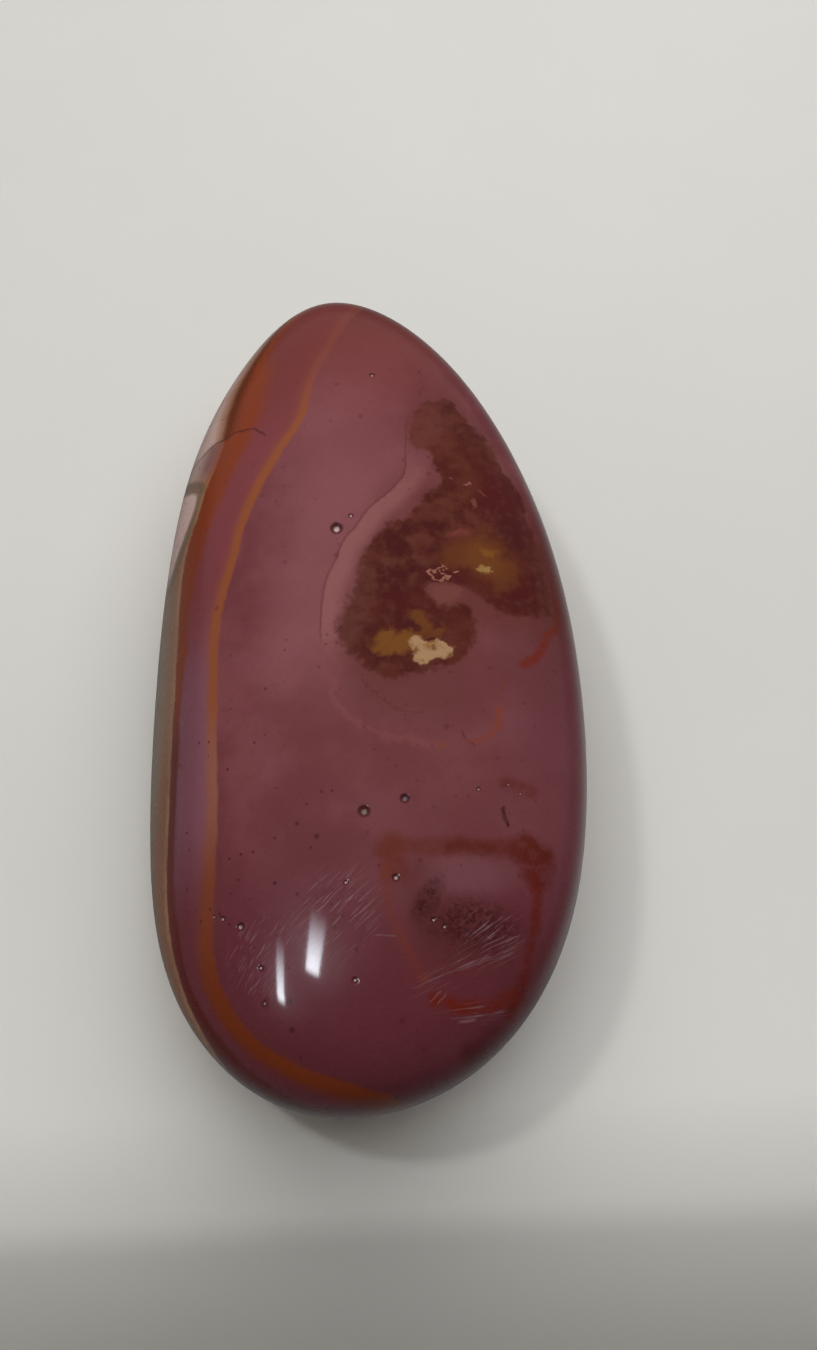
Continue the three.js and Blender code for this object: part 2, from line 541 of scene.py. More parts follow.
def new_group(name, inputs, outputs):
    """An empty shader group, its recipe, what it is given and where its results go. Inputs and outputs are
    labels between commas, and each is a number unless VECTORS lists it."""
    group = bpy.data.node_groups.new(name, "ShaderNodeTree")
    for in_out, labels in (("INPUT", inputs), ("OUTPUT", outputs)):
        for label in labels.split(", "):
            kind = "NodeSocketVector" if label in VECTORS else "NodeSocketFloat"
            group.interface.new_socket(label, in_out=in_out, socket_type=kind)
    recipe = Recipe(group)
    return group, recipe, recipe.node("NodeGroupInput").outputs, recipe.node("NodeGroupOutput").inputs


def offsets(recipe, given, origin):
    """How far the spot lies from an origin along x and y. The origin is what its two inputs' names share."""
    return [recipe.less(given[way], given[origin + " " + way.lower()]) for way in "XY"]


# %% Build the blotch: a soft-edged oval
blotch_group, recipe, given, result = new_group(
    "Blotch", "X, Y, Centre x, Centre y, Turn, Half length, Half width, Softness", "Mask"
)
off = offsets(recipe, given, "Centre")
turns = [recipe.math(wave, given["Turn"]) for wave in ("COSINE", "SINE")]
lengthwise = recipe.add(recipe.times(off[0], turns[0]), recipe.times(off[1], turns[1]))
crosswise = recipe.less(recipe.times(off[1], turns[0]), recipe.times(off[0], turns[1]))
out_of_oval = recipe.length(
    recipe.math("DIVIDE", lengthwise, given["Half length"]),
    recipe.math("DIVIDE", crosswise, given["Half width"]),
)
outer = recipe.add(given["Softness"], 1.0)
inner = recipe.less(1.0, given["Softness"])
recipe.feed(result["Mask"], recipe.rises(out_of_oval, outer, inner))

# %% Build the stroke: a straight line with round ends
stroke_group, recipe, given, result = new_group(
    "Stroke", "X, Y, Start x, Start y, End x, End y, Width, Softness", "Mask"
)
run = [recipe.less(given["End " + way], given["Start " + way]) for way in "xy"]
off = offsets(recipe, given, "Start")
share = recipe.math(
    "DIVIDE",
    recipe.add(recipe.times(off[0], run[0]), recipe.times(off[1], run[1])),
    recipe.add(recipe.times(run[0], run[0]), recipe.times(run[1], run[1])),
)
share = recipe.math("MINIMUM", recipe.most(share, 0.0), 1.0)
gap = recipe.length(*(recipe.less(start, recipe.times(share, step)) for start, step in zip(off, run)))
half = recipe.times(given["Width"], 0.5)
outer = recipe.add(half, given["Softness"])
inner = recipe.less(half, given["Softness"])
recipe.feed(result["Mask"], recipe.rises(gap, outer, inner))

# %% Build the pit: a dark rim of painted shade round a pale, dusty floor
PIT_SHADE_FADE = (1.3, 0.8)
FLOOR_FADE = (0.62, 0.2)
pit_group, recipe, given, result = new_group("Pit", "X, Y, Centre x, Centre y, Radius", "Rim, Floor")
away = recipe.math("DIVIDE", recipe.length(*offsets(recipe, given, "Centre")), given["Radius"])
# The Rim mask carries the painted shade at the pit's edge; the Floor mask carries its pale dust.
recipe.feed(result["Rim"], recipe.rises(away, *PIT_SHADE_FADE))
recipe.feed(result["Floor"], recipe.rises(away, *FLOOR_FADE))

# %% Build the specks: tiny round dots, one to a cell, in a share of the cells
SPECK_FADE = (1.3, 0.6)
SMALLEST_SPECK = 0.4
specks_group, recipe, given, result = new_group("Specks", "Place, Spacing, Radius, Share", "Mask")
cells = recipe.node(
    "ShaderNodeTexVoronoi",
    {"Vector": given["Place"], "Scale": recipe.math("DIVIDE", 1.0, given["Spacing"]), "Randomness": 1.0},
    voronoi_dimensions="3D", feature="F1",
).outputs
away = recipe.times(cells["Distance"], given["Spacing"])
chosen = recipe.math("LESS_THAN", recipe.axis(cells["Color"], "X"), given["Share"])
grown = recipe.times(given["Radius"], recipe.add(recipe.axis(cells["Color"], "Y"), SMALLEST_SPECK))
dot = recipe.rises(away, *(recipe.times(grown, fade) for fade in SPECK_FADE))
recipe.feed(result["Mask"], recipe.times(dot, chosen))

# %% Build the clouds: plain noise with named inputs
clouds_group, recipe, given, result = new_group(
    "Clouds", "Place, Squeeze, Scale, Detail, Roughness", "Value"
)
squeezed = recipe.vector("MULTIPLY", given["Place"], given["Squeeze"])
wisps = recipe.noise(squeezed, given["Scale"], given["Detail"], given["Roughness"])
recipe.feed(result["Value"], wisps["Fac"])

# %% Build the brushing: noise drawn out along one direction, cut to thin lines
LINE_CUT = (0.58, 0.68)
brushing_group, recipe, given, result = new_group("Brushing", "Place, Rotation, Stretch", "Mask")
drawn_out = recipe.framed(given["Place"], given["Rotation"], given["Stretch"])
lines = recipe.noise(drawn_out, 1.0, 1.0, 0.5)["Fac"]
recipe.feed(result["Mask"], recipe.rises(lines, *LINE_CUT))

# %% Build the places: where a spot is in millimetres, and the same pushed about by noise
SLOW_NOISE, SLOW_PUSH = (0.35, 2.0, 0.5), 2.6
QUICK_NOISE, QUICK_PUSH = (1.7, 3.0, 0.6), 1.6
places_group, recipe, given, result = new_group(
    "Places", "Object", "Solid, X, Y, Ragged x, Ragged y, Slow, Quick"
)
solid_place = recipe.scaled(given["Object"], 1 / MM)
recipe.feed(result["Solid"], solid_place)
slow, quick = (
    recipe.vector("SUBTRACT", recipe.noise(solid_place, *settings)["Color"], (0.5, 0.5, 0.5))
    for settings in (SLOW_NOISE, QUICK_NOISE)
)
for way in "XY":
    spot = recipe.axis(solid_place, way)
    slow_push = recipe.times(recipe.axis(slow, way), SLOW_PUSH)
    quick_push = recipe.times(recipe.axis(quick, way), QUICK_PUSH)
    recipe.feed(result[way], spot)
    recipe.feed(result["Ragged " + way.lower()], recipe.add(spot, recipe.add(slow_push, quick_push)))
recipe.feed(result["Slow"], recipe.axis(slow, "Z"))
recipe.feed(result["Quick"], recipe.axis(quick, "Z"))

# %% [markdown]
# ## The jasper
# The stone is painted like a picture, from the ground colour up: first the rose ground with its clouds, then
# the bands, the inclusion, the stains, and last the pits and scratches. Each layer is a colour and a mask.
# Ragged edges come from one trick: the coordinates are pushed about by noise before a shape is drawn on them.

# %% Start the material and shake its coordinates
jasper = bpy.data.materials.new("polished_jasper")
jasper.use_nodes = True
jasper.node_tree.nodes.clear()
rock = Recipe(jasper.node_tree)
where = rock.placed(places_group, object=rock.node("ShaderNodeTexCoord").outputs["Object"])
in_stone, across, along = where["Solid"], where["X"], where["Y"]
from_above, ragged = (across, along), (where["Ragged x"], where["Ragged y"])
slow_edge, quick_edge = where["Slow"], where["Quick"]
on_crown = rock.rises(rock.stored("lift"), 0.0, 0.25)


# %% Paint with clouds, ovals and trails of strokes
def cloudy(scale, detail, roughness, squeeze=(1.0, 1.0, 1.0)):
    """Noise over the stone: scale is how many clouds there are to a millimetre."""
    return rock.placed(
        clouds_group, place=in_stone, squeeze=squeeze, scale=scale, detail=detail, roughness=roughness
    )["Value"]


def blend(below, above, value, start, end, strength=1.0):
    """The colour below, turning into the one above as value goes from start to end."""
    share = rock.rises(value, start, end)
    return rock.mix(share if strength == 1.0 else rock.times(share, strength), below, above)


def coat(colour, paint, *masks):
    """The colour with paint over it, as strong as all the masks multiplied together."""
    return rock.mix(rock.times(*masks), colour, seen(*paint))


def oval(place, centre, radii, turn, softness):
    """A mask of an oval, turned by so many degrees."""
    return rock.placed(
        blotch_group, x=place[0], y=place[1], centre_x=centre[0], centre_y=centre[1],
        turn=math.radians(turn), half_length=radii[0], half_width=radii[1], softness=softness,
    )["Mask"]


def dab(colour, paint, centre, radii, turn, softness, strength, place=ragged):
    """The colour with an oval of paint over it, on the crown only."""
    return coat(colour, paint, oval(place, centre, radii, turn, softness), on_crown, strength)


def partly_ragged(share):
    """Places pushed about by a share of the noise."""
    return [
        rock.add(rock.times(clean, 1 - share), rock.times(rough, share))
        for clean, rough in zip(from_above, ragged)
    ]


def trail(points, width, softness, place=ragged):
    """A mask of straight strokes from point to point."""
    strokes = [
        rock.placed(
            stroke_group, x=place[0], y=place[1], start_x=start[0], start_y=start[1],
            end_x=end[0], end_y=end[1], width=width, softness=softness,
        )["Mask"]
        for start, end in zip(points, points[1:])
    ]
    return rock.times(rock.most(*strokes), on_crown)


# %% Lay the rose ground with its clouds
clouds = cloudy(0.13, 3.0, 0.55)
mottle = cloudy(0.8, 4.0, 0.6)
colour = blend(seen(107, 57, 61), seen(118, 68, 72), clouds, 0.36, 0.64)
colour = blend(colour, seen(102, 54, 57), mottle, 0.5, 0.75, 0.55)
colour = blend(colour, seen(103, 52, 48), along, 22.0, 38.0, 0.8)
colour = blend(colour, seen(88, 44, 38), along, 36.0, 44.0, 0.6)
# Painted shade: the ground turns darker towards the near end.
colour = blend(colour, seen(94, 46, 53), along, -12.0, -34.0, 0.75)
for paint, centre, radii, turn, strength in [
    ((134, 82, 86), (-2.6, 6.5), (5.0, 10.0), -15.0, 0.5),
    ((138, 86, 90), (-4.0, -3.0), (4.5, 6.0), 0.0, 0.3),
    ((132, 78, 82), (-1.0, 20.0), (5.0, 9.0), -15.0, 0.5),
    ((104, 60, 68), (17.5, -12.0), (4.0, 12.0), 0.0, 0.6),
    ((120, 60, 58), (2.0, 30.0), (6.0, 6.0), 0.0, 0.4),
    ((106, 58, 60), (9.0, -17.0), (9.0, 5.0), -10.0, 0.5),
    ((100, 56, 54), (4.6, -8.0), (6.4, 3.2), -8.0, 0.7),
    ((96, 50, 47), (12.4, 0.3), (5.6, 2.2), -14.0, 0.75),
    ((98, 54, 54), (15.6, -5.0), (4.0, 4.0), 0.0, 0.5),
    ((84, 44, 40), (18.6, 5.0), (2.2, 6.5), 0.0, 0.8),
    ((100, 48, 54), (-8.0, -31.0), (5.0, 6.0), 0.0, 0.4),
]:
    colour = dab(colour, paint, centre, radii, turn, 0.7, strength)

# %% Lay the bands down the left side
layer = rock.add(rock.stored("layer"), rock.times(slow_edge, 0.35), rock.times(quick_edge, 0.16))
orange = blend(seen(136, 76, 50), seen(138, 85, 73), along, -6.0, -14.0)
orange = blend(orange, seen(126, 68, 56), along, 20.0, 32.0)
orange = blend(orange, seen(120, 62, 44), along, -16.0, -26.0)
orange = blend(orange, seen(116, 54, 20), along, -26.0, -34.0)
orange_mask = rock.times(rock.rises(layer, 1.75, 2.4), rock.rises(layer, 3.15, 2.8))
orange_strength = rock.less(1.0, rock.times(rock.rises(along, 22.0, 34.0), 0.55))
# The mauve band is its own colour, but its paler, bluish tint towards the near end is a painted reflection.
mauve = blend(seen(120, 62, 66), seen(124, 77, 88), along, 4.0, -6.0)
mauve = blend(mauve, seen(112, 56, 54), along, 18.0, 32.0)
mauve = blend(mauve, seen(108, 56, 62), along, -17.0, -28.0)
rust = blend(seen(126, 58, 36), seen(100, 38, 26), along, -4.0, -12.0)
rust = blend(rust, seen(96, 34, 14), along, -24.0, -32.0)
colour = blend(colour, mauve, layer, 2.7, 2.1)
colour = rock.mix(rock.times(orange_mask, orange_strength), colour, orange)
rust_mask = rock.add(rock.rises(layer, 1.3, 0.75), rock.times(rock.rises(along, 6.0, -2.0), -1.0))
rust_mask = rock.most(rust_mask, rock.rises(layer, 1.15, 0.7))
colour = rock.mix(rust_mask, colour, rust)

# %% Paint the pale flank outside the bands, and a painted sheen above the crack
past_crack = rock.rises(rock.add(along, rock.times(slow_edge, 1.5)), 22.2, 23.0)
streaks = cloudy(1.4, 3.0, 0.6, squeeze=(1.0, 0.06, 1.0))
inner_flank = blend(seen(142, 104, 82), seen(136, 86, 56), along, -6.0, -14.0)
inner_flank = blend(inner_flank, seen(144, 96, 68), along, 6.0, 12.0)
outer_flank = blend(seen(138, 117, 99), seen(134, 92, 64), along, -8.0, -22.0)
flank = blend(inner_flank, outer_flank, layer, -1.0, -2.6)
flank = blend(flank, seen(112, 90, 74), streaks, 0.5, 0.72, 0.2)
peach = blend(seen(206, 170, 156), seen(150, 98, 72), layer, -2.6, -0.3)
shadowed = blend(seen(176, 148, 138), seen(132, 92, 88), layer, -3.0, -1.2)
shadowed = blend(shadowed, seen(136, 80, 64), layer, -1.0, 0.0)
peach = blend(peach, shadowed, along, 17.2, 20.2)
flank = blend(flank, peach, along, 15.0, 18.0)
# Above the crack, the pale pink at the flank's outer edge is a painted sheen, which fades inwards into the
# stone's own tan and olive.
upper_flank = blend(seen(194, 164, 154), seen(160, 116, 96), layer, -2.0, -0.8)
upper_flank = blend(upper_flank, seen(100, 54, 28), layer, -1.0, -0.1)
flank = rock.mix(past_crack, flank, upper_flank)
colour = blend(colour, seen(98, 48, 20), layer, 0.45, 0.0, past_crack)

# %% Paint the pink eye on the shoulder and the thin tan line under it
eye = rock.add(rock.stored("eye"), rock.times(quick_edge, 0.3))
beside_eye = rock.band(along, 10.5, 21.5, 2.0)
flank = blend(flank, seen(208, 174, 166), eye, 0.1, -0.5, beside_eye)
eye_rim = rock.times(rock.band(eye, -0.6, 0.6, 0.5), rock.band(along, 9.0, 22.5, 3.0))
flank = coat(flank, (112, 92, 70), eye_rim, 0.85)
tan_line = rock.times(rock.band(layer, -0.42, 0.0, 0.3), rock.rises(along, 18.0, 16.0))
tan_line = rock.times(tan_line, rock.add(0.3, rock.times(rock.rises(clouds, 0.4, 0.6), 0.4)))
flank = coat(flank, (164, 118, 88), tan_line)
low_down = rock.rises(rock.add(rock.stored("lift"), rock.times(slow_edge, 0.6)), -0.05, -0.5)
low_flank = blend(seen(172, 138, 122), seen(138, 102, 82), streaks, 0.35, 0.65)
flank = rock.mix(rock.times(low_down, 0.85), flank, low_flank)
colour = blend(colour, flank, layer, 0.06, -0.1)
crack = trail(
    [(-19.5, 22.0), (-16.0, 22.2), (-14.5, 22.6), (-12.0, 22.8), (-10.0, 22.6), (-9.5, 22.0), (-8.8, 21.2)],
    0.16, 0.12, place=partly_ragged(0.3),
)
colour = coat(colour, (66, 34, 26), crack, 0.9)

# %% Paint the inclusion
inclusion = rock.add(rock.stored("inclusion"), rock.times(slow_edge, 2.4), rock.times(quick_edge, 1.5))
inside = rock.times(rock.rises(inclusion, -0.35, 0.35), on_crown)
around = rock.times(rock.rises(inclusion, -2.0, 0.2), on_crown)
brown_noise = cloudy(0.4, 4.0, 0.55)
brown = blend(seen(72, 29, 12), seen(88, 45, 36), brown_noise, 0.38, 0.62)
brown = blend(brown, seen(78, 37, 28), inclusion, 1.8, 0.2, 0.4)
for paint, centre, radii, turn, strength in [
    ((94, 52, 46), (-0.6, 0.6), (1.8, 5.8), -15.0, 0.75),
    ((100, 54, 48), (7.4, 21.6), (2.6, 3.6), 0.0, 0.8),
    ((86, 42, 28), (11.0, 17.5), (3.4, 3.4), 0.0, 0.6),
    ((88, 46, 38), (15.4, 19.0), (1.6, 4.5), 20.0, 0.6),
    ((78, 27, 1), (15.3, 13.2), (2.7, 4.4), 15.0, 1.0),
    ((72, 24, 4), (15.0, 8.0), (1.5, 3.6), 0.0, 0.9),
    ((76, 30, 12), (15.4, 2.6), (2.6, 2.4), -15.0, 0.85),
    ((86, 44, 36), (18.8, 6.0), (1.0, 6.0), 0.0, 0.7),
    ((78, 34, 20), (5.6, 0.8), (3.0, 1.6), 0.0, 0.7),
    ((78, 36, 23), (2.4, -2.0), (1.6, 2.4), 0.0, 0.6),
    ((90, 45, 36), (9.4, -2.4), (1.8, 2.6), 0.0, 0.6),
]:
    brown = dab(brown, paint, centre, radii, turn, 0.5, strength)
brown = blend(brown, seen(100, 58, 52), mottle, 0.5, 0.68, 0.3)
brown = blend(brown, seen(74, 28, 10), mottle, 0.48, 0.34, 0.3)
colour = coat(colour, (98, 54, 50), around, 0.45)
colour = rock.mix(inside, colour, brown)

# %% Set the ochre, the cream patch and the small pale marks in it
for paint, centre, radii, turn, softness, strength in [
    ((82, 38, 1), (12.6, 5.2), (3.3, 3.1), 0.0, 0.4, 0.95),
    ((98, 54, 1), (10.6, 6.4), (2.4, 1.4), 0.0, 0.5, 0.85),
    ((96, 54, 2), (14.4, 4.4), (1.1, 2.3), -20.0, 0.5, 0.8),
    ((104, 60, 1), (12.7, 6.3), (1.8, 2.4), 10.0, 0.5, 0.95),
    ((124, 78, 26), (13.2, 6.8), (0.6, 0.6), 20.0, 0.5, 0.7),
    ((150, 116, 68), (12.6, 4.9), (0.5, 0.45), 20.0, 0.4, 0.85),
    ((116, 72, 30), (3.6, -3.0), (2.0, 1.0), 0.0, 0.4, 0.9),
    ((106, 62, 30), (6.0, -1.1), (1.1, 0.6), -35.0, 0.5, 0.8),
    ((108, 64, 28), (6.8, -2.2), (1.4, 0.4), 0.0, 0.5, 0.6),
    ((112, 64, 58), (8.2, 2.0), (1.3, 1.2), 0.0, 0.45, 0.8),
    ((138, 82, 78), (11.3, 14.4), (0.22, 0.22), 0.0, 0.5, 0.8),
    ((130, 76, 70), (9.4, 14.9), (0.3, 0.16), 0.0, 0.5, 0.7),
    ((122, 64, 54), (12.7, 13.5), (0.3, 0.22), 0.0, 0.5, 0.7),
    ((122, 66, 56), (11.9, 12.2), (0.22, 0.7), 0.0, 0.5, 0.7),
    ((116, 58, 50), (10.0, 8.6), (1.0, 0.4), 0.0, 0.6, 0.6),
]:
    colour = dab(colour, paint, centre, radii, turn, softness, strength)
loop = rock.most(
    trail([(7.3, 3.7), (7.15, 4.4), (7.6, 4.95), (8.3, 5.1), (8.7, 5.45)], 0.24, 0.12),
    trail([(7.3, 3.7), (7.9, 3.6), (8.4, 4.1), (8.3, 4.7)], 0.18, 0.1),
    trail([(9.2, 4.5), (9.7, 4.3)], 0.2, 0.12),
)
colour = coat(colour, (164, 108, 90), loop, 0.8)
cream = rock.add(rock.stored("cream"), rock.times(quick_edge, 0.9))
cream_colour = blend(seen(116, 78, 50), seen(160, 124, 90), mottle, 0.36, 0.56)
colour = blend(colour, cream_colour, cream, -0.12, 0.14, on_crown)
colour = dab(colour, (134, 88, 46), (6.9, -3.5), (0.45, 0.4), 0.0, 0.5, 0.6)

# %% Draw the hairline and its pale halo
hairline = rock.add(rock.stored("hairline"), rock.times(quick_edge, 0.25))
beside = rock.times(rock.band(along, -3.0, 16.0, 5.0), on_crown)
halo = rock.times(rock.rises(hairline, 0.0, 0.3), rock.rises(hairline, 2.6, 1.0), beside)
colour = coat(colour, (144, 93, 90), halo, rock.rises(inclusion, 0.0, -0.5), 0.5)
thread = rock.times(rock.band(hairline, -0.07, 0.07, 0.16), rock.band(along, -2.5, 22.5, 3.0), on_crown)
colour = coat(colour, (92, 48, 44), thread, 0.6)
fold = trail(
    [(-3.4, -2.5), (-3.0, -6.0), (-1.7, -9.6), (0.6, -11.8), (3.6, -13.0), (7.0, -13.3)], 0.5, 0.4
)
colour = coat(colour, (130, 74, 74), fold, 0.45)
for points, strength in [
    ([(0.2, -6.6), (1.4, -8.4), (3.0, -9.7), (5.2, -10.4)], 0.6),
    ([(7.4, 29.4), (7.6, 27.0), (7.0, 25.6)], 0.5),
]:
    colour = coat(colour, (84, 42, 42), trail(points, 0.14, 0.16), strength)

# %% Stain the lower right with rust
stain_noise = rock.rises(cloudy(0.9, 4.0, 0.65), 0.36, 0.58)
pepper = rock.rises(cloudy(2.6, 4.0, 0.7), 0.4, 0.6)
drawn = partly_ragged(0.3)
stains = [
    ([(1.8, -22.7), (4.1, -22.5), (6.7, -22.5), (9.3, -22.7), (12.0, -22.6), (14.5, -22.6)], 1.5, 0.5,
     (98, 48, 42), 0.9),
    ([(7.6, -22.5), (12.2, -22.8)], 1.2, 0.5, (88, 38, 31), 0.8),
    ([(14.2, -22.8), (15.4, -23.4), (15.2, -24.8)], 2.8, 0.6, (90, 38, 29), 1.0),
    ([(2.3, -22.3), (2.6, -24.5)], 2.2, 0.7, (102, 48, 38), 0.9),
    ([(4.6, -25.5), (6.4, -31.6), (10.6, -31.6)], 3.2, 1.4, (86, 46, 46), 0.55),
    ([(4.6, -23.0), (4.4, -25.6)], 0.9, 0.6, (98, 48, 46), 0.5),
    ([(1.8, -24.0), (1.7, -25.3), (1.9, -27.5), (2.9, -30.0), (3.9, -32.1), (4.9, -33.7)], 0.8, 0.4,
     (108, 52, 44), 0.75),
    ([(14.9, -25.0), (15.0, -27.0), (14.7, -29.5), (14.0, -31.6), (13.2, -34.0), (12.2, -36.4)], 0.9, 0.35,
     (96, 38, 32), 0.95),
    ([(5.6, -35.2), (7.8, -35.9), (10.4, -35.7), (12.4, -34.9)], 1.1, 0.35, (106, 40, 32), 0.95),
    ([(8.6, -39.4), (11.2, -37.8)], 1.6, 0.8, (84, 30, 32), 0.6),
    ([(12.9, -9.4), (12.7, -11.0), (11.9, -12.2), (10.9, -12.8), (10.0, -12.9)], 0.6, 0.3,
     (122, 58, 44), 0.85),
    ([(7.9, -13.2), (7.2, -13.5)], 0.5, 0.25, (122, 62, 50), 0.8),
    ([(18.6, -0.8), (17.8, -2.0), (17.1, -3.4), (16.4, -4.6), (15.4, -5.1)], 0.8, 0.3, (108, 42, 28), 0.9),
    ([(19.3, 2.6), (19.3, 1.2), (18.7, -0.6)], 0.5, 0.3, (104, 44, 36), 0.7),
    ([(13.3, -6.4), (12.8, -8.2)], 0.35, 0.25, (104, 52, 48), 0.6),
    ([(12.9, -16.9), (14.9, -17.4)], 1.2, 0.5, (94, 44, 40), 0.85),
    ([(12.6, -19.0), (12.6, -19.8), (12.9, -20.5), (12.8, -20.6)], 0.3, 0.12, (66, 24, 26), 1.0),
    ([(9.1, -11.9), (9.5, -12.8), (10.2, -13.3)], 0.12, 0.08, (64, 30, 28), 1.0),
]
for points, width, softness, paint, strength in stains:
    broken = rock.add(rock.times(stain_noise, 0.5), 0.5)
    colour = coat(colour, paint, trail(points, width, softness, place=drawn), strength, broken)
colour = dab(colour, (116, 74, 79), (9.4, -25.2), (3.8, 1.5), 0.0, 0.6, 0.5, place=drawn)
pepper_strength = rock.add(0.35, rock.times(pepper, 0.6))
for centre, radii, turn in [((5.5, -26.9), (0.9, 2.0), -35.0), ((9.3, -29.3), (3.9, 2.0), -6.0)]:
    colour = dab(colour, (66, 28, 27), centre, radii, turn, 0.6, pepper_strength, place=drawn)

# %% Scatter dark specks, more of them low on the left
low_left = rock.times(rock.rises(along, 4.0, -14.0), rock.rises(across, 6.0, -12.0))
fine_specks, large_specks = (
    rock.placed(specks_group, place=in_stone, spacing=spacing, radius=radius, share=share)["Mask"]
    for spacing, radius, share in ((1.0, 0.13, 0.5), (2.3, 0.22, 0.4))
)
specks = rock.times(
    rock.most(fine_specks, large_specks), rock.add(rock.times(low_left, 0.55), 0.35),
    rock.rises(layer, 0.0, 0.6), rock.rises(inclusion, 0.5, -0.5), on_crown,
)
colour = coat(colour, (70, 30, 32), specks)

# %% Scratch the polish, and paint glints into the fine scratches
def brushing(turn, stretch, centre, radii, softness=0.7):
    """Fine parallel strokes at turn degrees, in an oval of the same turn."""
    rotation = (0.0, 0.0, math.radians(turn))
    strokes = rock.placed(brushing_group, place=in_stone, rotation=rotation, stretch=stretch)["Mask"]
    return rock.times(strokes, oval(from_above, centre, radii, turn, softness))


brushed = rock.most(
    brushing(42.0, (2.2, 0.13, 1.0), (-2.6, -28.0), (3.4, 3.0)),
    brushing(55.0, (1.6, 0.12, 1.0), (-9.0, -31.0), (3.0, 2.6)),
    brushing(24.0, (4.0, 0.12, 1.0), (8.8, -32.3), (5.4, 1.0)),
    brushing(6.0, (3.0, 0.12, 1.0), (9.2, -36.4), (3.0, 0.7)),
    brushing(36.0, (2.0, 0.1, 1.0), (10.6, -30.0), (2.2, 1.6), 0.9),
)
brushed = rock.times(brushed, on_crown)
bent = partly_ragged(0.2)
long_scratches = rock.most(*(
    rock.times(trail(points, width, softness, place=bent), strength)
    for points, width, softness, strength in [
        ([(3.8, -34.3), (6.2, -33.4), (8.5, -32.7), (11.2, -31.6), (13.6, -30.4)], 0.05, 0.1, 0.6),
        ([(7.0, -36.7), (9.0, -36.6), (11.2, -36.2)], 0.05, 0.1, 0.6),
        ([(5.2, -35.4), (6.2, -34.6)], 0.06, 0.08, 0.9),
        ([(5.8, -35.6), (6.6, -34.9)], 0.06, 0.08, 0.9),
        ([(0.9, -29.9), (2.6, -30.0)], 0.06, 0.07, 0.8),
        ([(8.0, -33.0), (12.5, -31.4)], 0.05, 0.08, 0.6),
    ]
))
scratched = rock.most(brushed, long_scratches)
colour = coat(colour, (136, 122, 120), long_scratches, 0.45)
# The fine scratches are real in the roughness and the bump below; their pale colour here is a painted glint.
colour = coat(colour, (150, 122, 126), brushed, 0.4)

# %% Dust the pits and paint shade on their rims
DUST = [(196, 170, 168), (186, 160, 158), (122, 112, 100), (112, 100, 106)]
OTHER_DUST = (178, 146, 146)
uneven = partly_ragged(0.06)
for index, (x, y, radius) in enumerate(PITS):
    pit = rock.placed(pit_group, x=uneven[0], y=uneven[1], centre_x=x, centre_y=y, radius=radius)
    # Painted shade: a dark ring at the edge of each pit.
    colour = coat(colour, (66, 34, 36), pit["Rim"], on_crown, 0.7)
    dust = DUST[index] if index < len(DUST) else OTHER_DUST
    colour = coat(colour, dust, pit["Floor"], on_crown, 0.9)

# %% Finish the surface: a clear polish over a slightly hazy one
QUARTZ_IOR = 1.54
HAZE, MOTTLE_HAZE, SCRATCH_HAZE = 0.24, 0.08, 0.25
LONG_WAVE, SHORT_WAVE, GRAIN, SCRATCH_DEPTH = 0.05, 0.007, 0.0006, 0.004
long_waves = rock.times(cloudy(0.12, 2.0, 0.5), LONG_WAVE)
short_waves = rock.times(cloudy(0.5, 2.0, 0.5), SHORT_WAVE)
grain = rock.times(cloudy(6.0, 2.0, 0.5), GRAIN)
height = rock.less(rock.add(long_waves, short_waves, grain), rock.times(brushed, SCRATCH_DEPTH))
bump = rock.node("ShaderNodeBump", {"Distance": MM, "Strength": 1.0, "Height": height})
shine = rock.node("ShaderNodeBsdfPrincipled", {
    "Base Color": colour,
    "Roughness": rock.add(HAZE, rock.times(mottle, MOTTLE_HAZE), rock.times(scratched, SCRATCH_HAZE)),
    "Normal": bump.outputs["Normal"],
    "IOR": QUARTZ_IOR,
    "Specular IOR Level": 0.15,
    "Coat Weight": 0.6,
    "Coat Roughness": 0.06,
    "Coat IOR": QUARTZ_IOR,
})
rock.node("ShaderNodeOutputMaterial", {"Surface": shine.outputs["BSDF"]})
stone_mesh.materials.append(jasper)
print("jasper nodes", len(jasper.node_tree.nodes))

# %% [markdown]
# ## The table and the light
# The stone lies on a plain pale table top. A wide soft lamp hangs low over the far end, as a bright ceiling
# would, and a small lamp on the left throws the shadow on the right. A dim grey world fills the shadows.
# Two long cool tubes light nothing and are only mirrored: they make the two streaks at the near end, which
# fade away from the viewer as in the photograph because each tube dims along its length.
# A card that nobody sees stands in for whoever took the picture and darkens the table's near edge. The polish
# would also mirror the whole table round its rim, so the table is hidden from it, and the world's lower half
# gives a fainter rim in its place, brighter on the right as in the photograph.

# %% Lay the table top
TABLE_REACH = 2.0
TABLE_DARK, TABLE_LIGHT = (0.775, 0.765, 0.725, 1.0), (0.8, 0.79, 0.75, 1.0)


def level_sheet(name, reach, near, far, height):
    """A level rectangle that reaches equally far left and right."""
    corners = [(-reach, near, height), (reach, near, height), (reach, far, height), (-reach, far, height)]
    return linked_mesh(name, corners, [(0, 1, 2, 3)])


table_top = level_sheet("table_top", TABLE_REACH, -TABLE_REACH, TABLE_REACH, 0)
pale = bpy.data.materials.new("pale_table")
pale.use_nodes = True
pale.node_tree.nodes.clear()
table = Recipe(pale.node_tree)
on_table = table.node("ShaderNodeTexCoord").outputs["Object"]
smudges = table.rises(table.noise(on_table, 9.0, 4.0, 0.6)["Fac"], 0.35, 0.65)
matt = table.node("ShaderNodeBsdfPrincipled", {
    "Base Color": table.mix(smudges, TABLE_DARK, TABLE_LIGHT),
    "Roughness": 0.5,
    "Specular IOR Level": 0.3,
})
table.node("ShaderNodeOutputMaterial", {"Surface": matt.outputs["BSDF"]})
table_top.data.materials.append(pale)
table_top.visible_glossy = False

